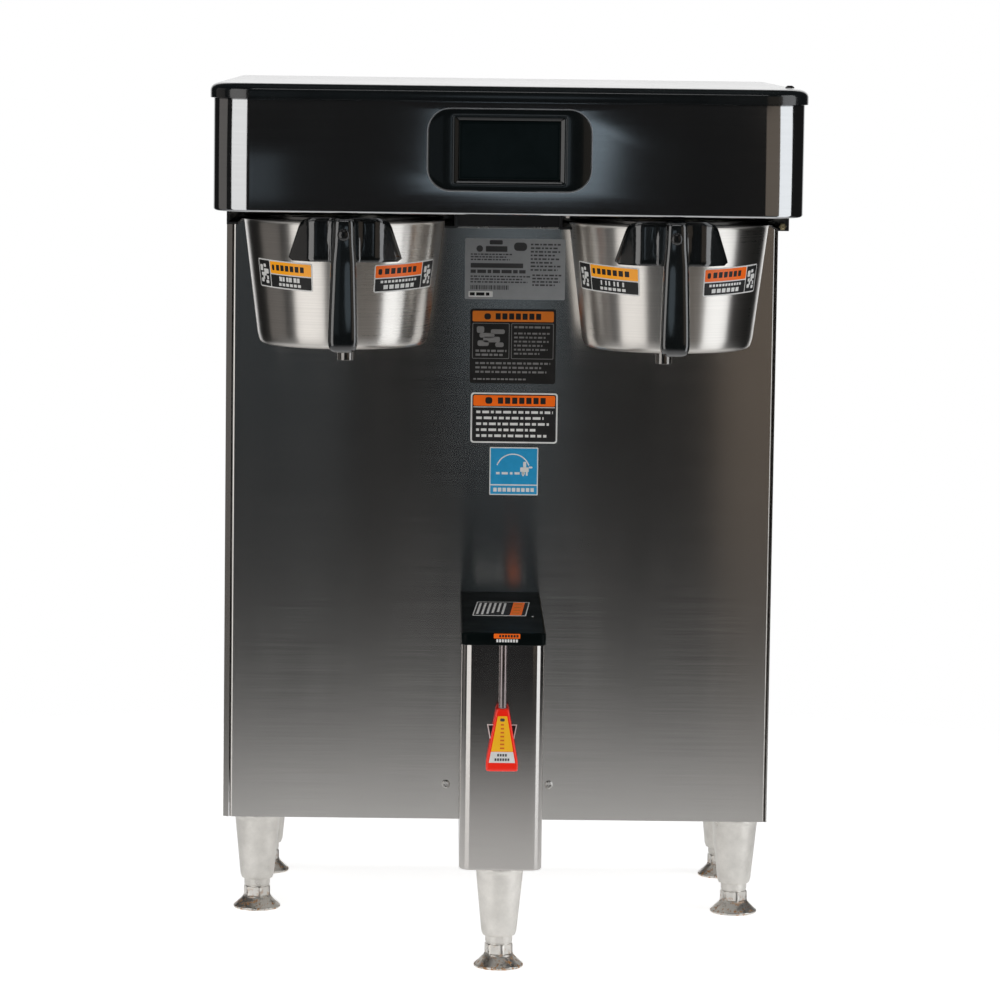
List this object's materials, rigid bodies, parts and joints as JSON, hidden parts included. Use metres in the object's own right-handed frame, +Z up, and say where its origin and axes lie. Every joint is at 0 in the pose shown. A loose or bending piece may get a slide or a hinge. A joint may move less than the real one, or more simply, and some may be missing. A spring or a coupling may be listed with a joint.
{
  "type": "commercial coffee brewer",
  "caption": "Twin-station commercial coffee brewer: steel cabinet under a hood with touchscreen, slide-out brew funnels, centre column with hot-water lever, levelling legs.",
  "frame": {"origin": "on the counter under the middle of the brewer's overall width and depth, at the undersides of the levelling feet", "axes": "+Z up, -Y the front (the operator's side), +X to the operator's right"},
  "size_m": [0.604, 0.634, 0.905],
  "materials": {
    "cabinet_steel": "stainless sheet brushed side to side, soft smeared reflections",
    "hood_steel": "stainless wrap with a fine brushed, nearly mirror finish",
    "column_steel": "stainless sheet brushed side to side",
    "funnel_steel": "spun stainless, satin, warm",
    "basket_steel": "stainless",
    "inner_steel": "mill stainless",
    "screw_steel": "bright plated screw head",
    "screw_black": "black screw head with a polished dome",
    "lid_plastic": "satin black moulded plastic",
    "cap_plastic": "satin black moulded plastic",
    "handle_plastic": "glossy black moulded plastic",
    "display_gloss": "gloss black surround",
    "display_glass": "dark touch glass, screen off",
    "lever_chrome": "polished chrome",
    "lever_red": "signal red moulded plastic",
    "leg_nickel": "cast, nickel plated, slightly stained",
    "valve_brass": "machined brass",
    "gland_plastic": "black nylon",
    "seal_rubber": "silicone seal",
    "board_green": "circuit board",
    "rail_black": "black coated steel",
    "spray_plastic": "black moulded plastic"
  },
  "bodies": {
    "root": {"base_pan": "cabinet_steel", "left_side_panel": "cabinet_steel", "right_side_panel": "cabinet_steel", "back_panel": "cabinet_steel", "front_panel": "cabinet_steel", "panel_screw_left": "screw_steel", "panel_screw_right": "screw_steel", "hood_shell": "hood_steel", "hood_floor": "hood_steel", "top_lid": "lid_plastic", "lid_screw": "lid_plastic", "display_bezel": "display_gloss", "touchscreen": "display_glass", "column_shell": "column_steel", "column_base_plate": "column_steel", "column_cap": "cap_plastic", "hot_water_nozzle": "cap_plastic", "lever_bracket": "inner_steel", "lever_pin": "lever_chrome", "hot_water_valve": "valve_brass", "water_tank": "inner_steel", "tank_lid": "inner_steel", "tank_seal": "seal_rubber", "heating_element": "lever_chrome", "temperature_probe": "inner_steel", "inlet_valve": "valve_brass", "water_inlet_fitting": "valve_brass", "cord_gland": "gland_plastic", "control_board": "board_green", "rail_bridge": "rail_black", "leg_front_left": "leg_nickel", "leg_front_right": "leg_nickel", "leg_rear_left": "leg_nickel", "leg_rear_right": "leg_nickel", "leg_column": "leg_nickel", "rail_outer_left": "rail_black", "rail_inner_left": "rail_black", "spray_head_left": "spray_plastic", "brew_valve_left": "valve_brass", "rail_outer_right": "rail_black", "rail_inner_right": "rail_black", "spray_head_right": "spray_plastic", "brew_valve_right": "valve_brass"},
    "funnel_left": {"funnel_bowl_left": "funnel_steel", "brew_basket_left": "basket_steel", "splash_guard_left": "handle_plastic", "funnel_grip_left": "handle_plastic", "grip_screw_left": "screw_black"},
    "funnel_right": {"funnel_bowl_right": "funnel_steel", "brew_basket_right": "basket_steel", "splash_guard_right": "handle_plastic", "funnel_grip_right": "handle_plastic", "grip_screw_right": "screw_black"},
    "hot_water_lever": {"lever_arm": "lever_chrome", "lever_paddle": "lever_red"},
    "levelling_foot_front_left": {"foot_front_left": "leg_nickel"},
    "levelling_foot_front_right": {"foot_front_right": "leg_nickel"},
    "levelling_foot_rear_left": {"foot_rear_left": "leg_nickel"},
    "levelling_foot_rear_right": {"foot_rear_right": "leg_nickel"},
    "levelling_foot_column": {"foot_column": "leg_nickel"}
  },
  "joints": [
    {"name": "funnel_left_slide", "type": "slide", "parent": "root", "child": "funnel_left", "axis": [0, -1, 0], "range_m": [0, 0.24]},
    {"name": "funnel_right_slide", "type": "slide", "parent": "root", "child": "funnel_right", "axis": [0, -1, 0], "range_m": [0, 0.24]},
    {"name": "hot_water_lever_hinge", "type": "hinge", "parent": "root", "child": "hot_water_lever", "pos_m": [0, -0.3025, 0.3468], "axis": [1, 0, 0], "range_deg": [0, 3.5], "stiffness_Nm_per_rad": 2, "springref_deg": -1.15},
    {"name": "foot_front_left_screw", "type": "slide", "parent": "root", "child": "levelling_foot_front_left", "axis": [0, 0, -1], "range_m": [-0.008, 0.02]},
    {"name": "foot_front_right_screw", "type": "slide", "parent": "root", "child": "levelling_foot_front_right", "axis": [0, 0, -1], "range_m": [-0.008, 0.02]},
    {"name": "foot_rear_left_screw", "type": "slide", "parent": "root", "child": "levelling_foot_rear_left", "axis": [0, 0, -1], "range_m": [-0.008, 0.02]},
    {"name": "foot_rear_right_screw", "type": "slide", "parent": "root", "child": "levelling_foot_rear_right", "axis": [0, 0, -1], "range_m": [-0.008, 0.02]},
    {"name": "foot_column_screw", "type": "slide", "parent": "root", "child": "levelling_foot_column", "axis": [0, 0, -1], "range_m": [-0.008, 0.02]}
  ]
}
